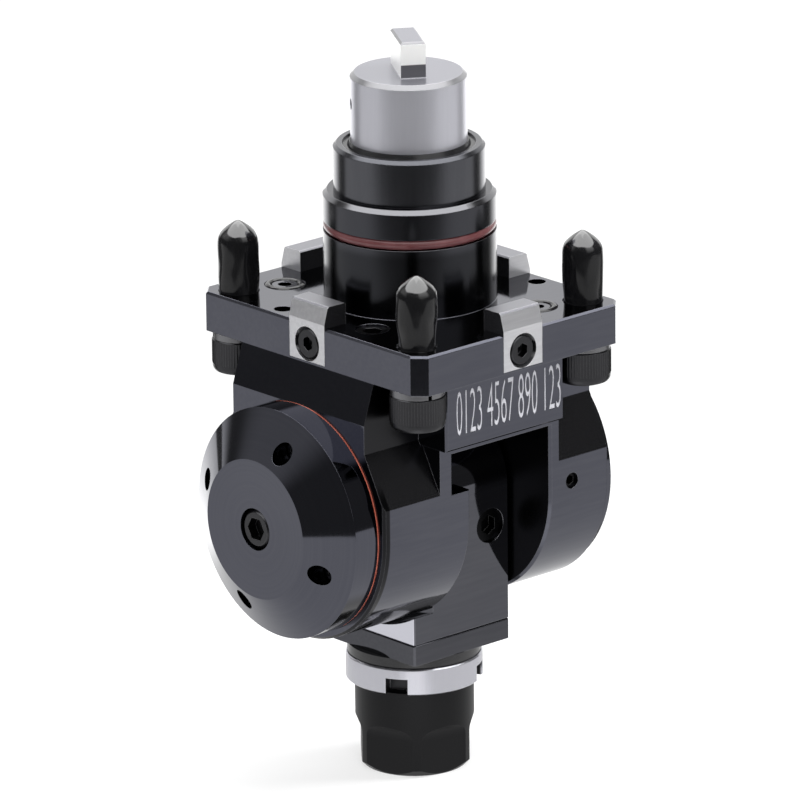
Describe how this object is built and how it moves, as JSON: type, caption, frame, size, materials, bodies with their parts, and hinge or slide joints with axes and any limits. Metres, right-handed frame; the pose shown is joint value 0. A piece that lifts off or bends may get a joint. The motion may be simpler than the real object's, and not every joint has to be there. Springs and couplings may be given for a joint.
{
  "type": "live tool holder",
  "caption": "Driven turret tool holder with a keyed flange, a pilot and drive tang above, and a swivelling collet spindle head carried in a fork below.",
  "frame": {"origin": "centre of the pilot at the flange face that seats on the turret", "axes": "+Z along the drive shaft towards the tang; the swivel axis is parallel to Y at z = -45.6 mm, with the large conical cover at the -Y end"},
  "size_m": [0.076, 0.0864, 0.1754],
  "materials": {
    "blackened_steel": "glossy blue-black oxide",
    "matt_black_steel": "matt black oxide",
    "ground_steel": "ground",
    "screw_steel": "bright, knurled heads",
    "black_screw_steel": "black oxide",
    "bearing_steel": "polished",
    "gear_steel": "ground flanks",
    "bush_bronze": "machined",
    "black_rubber": "gloss",
    "red_rubber": "satin",
    "orange_rubber": "satin"
  },
  "bodies": {
    "housing": {"fork_housing": "blackened_steel", "turret_keys": "ground_steel", "key_screws": "screw_steel", "bolt_washers": "screw_steel", "flange_bolts": "screw_steel", "bolt_caps": "black_rubber", "pilot_oring": "red_rubber", "coolant_orings": "black_rubber", "flange_plugs": "black_screw_steel", "bearing_ring_nut": "blackened_steel", "shaft_seal": "black_rubber", "drive_bearing_upper": "bearing_steel", "drive_bearing_lower": "bearing_steel", "drive_spacer_outer": "bearing_steel", "layshaft_bearing_inner": "bearing_steel", "layshaft_bearing_outer": "bearing_steel", "cross_bearing_outer": "bearing_steel", "drum_cover": "blackened_steel", "drum_oring": "orange_rubber", "drum_cover_screws": "screw_steel", "centre_plug": "screw_steel", "rear_cover": "blackened_steel", "rear_cover_screws": "black_screw_steel", "trunnion_bush": "bush_bronze", "pivot_bush": "bush_bronze", "swivel_lock_screw": "black_screw_steel"},
    "drive": {"drive_shaft": "ground_steel", "drive_bevel_gear": "gear_steel", "drive_spacer_inner": "bearing_steel"},
    "layshaft": {"layshaft": "gear_steel", "layshaft_bevel_gear": "gear_steel", "layshaft_pinion": "gear_steel"},
    "cross": {"cross_shaft": "gear_steel", "cross_wheel": "gear_steel", "cross_bevel_gear": "gear_steel"},
    "head": {"head_body": "blackened_steel", "head_plugs": "black_screw_steel", "nose_plate": "blackened_steel", "nose_plate_screws": "black_screw_steel", "nose_seal": "black_rubber", "spindle_bearing_upper": "bearing_steel", "spindle_bearing_lower": "bearing_steel", "pivot_pin": "ground_steel", "pivot_washer": "ground_steel", "pivot_screw": "screw_steel", "cross_bearing_inner": "bearing_steel"},
    "spindle": {"spindle": "ground_steel", "spindle_bevel_gear": "gear_steel", "spindle_collar": "ground_steel", "collet": "ground_steel", "spindle_spacer": "bearing_steel"},
    "nut": {"collet_nut": "matt_black_steel"}
  },
  "joints": [
    {"name": "drive_spin", "type": "hinge", "parent": "housing", "child": "drive", "pos_m": [0, 0, 0], "axis": [0, 0, 1], "continuous": true},
    {"name": "layshaft_spin", "type": "hinge", "parent": "housing", "child": "layshaft", "pos_m": [0, 0, -0.0176], "axis": [0, 1, 0], "continuous": true},
    {"name": "cross_spin", "type": "hinge", "parent": "housing", "child": "cross", "pos_m": [0, 0, -0.0456], "axis": [0, 1, 0], "continuous": true},
    {"name": "head_swivel", "type": "hinge", "parent": "housing", "child": "head", "pos_m": [0, 0, -0.0456], "axis": [0, 1, 0], "range_deg": [-90, 90]},
    {"name": "spindle_spin", "type": "hinge", "parent": "head", "child": "spindle", "pos_m": [0, 0, -0.0456], "axis": [0, 0, 1], "continuous": true},
    {"name": "nut_turn", "type": "hinge", "parent": "spindle", "child": "nut", "pos_m": [0, 0, -0.1133], "axis": [0, 0, -1], "range_deg": [0, 90]}
  ],
  "couplings": [
    {"joint": "layshaft_spin", "follows": "drive_spin", "ratio": 1},
    {"joint": "cross_spin", "follows": "drive_spin", "ratio": -0.75},
    {"joint": "spindle_spin", "follows": "drive_spin", "ratio": 0.75}
  ]
}
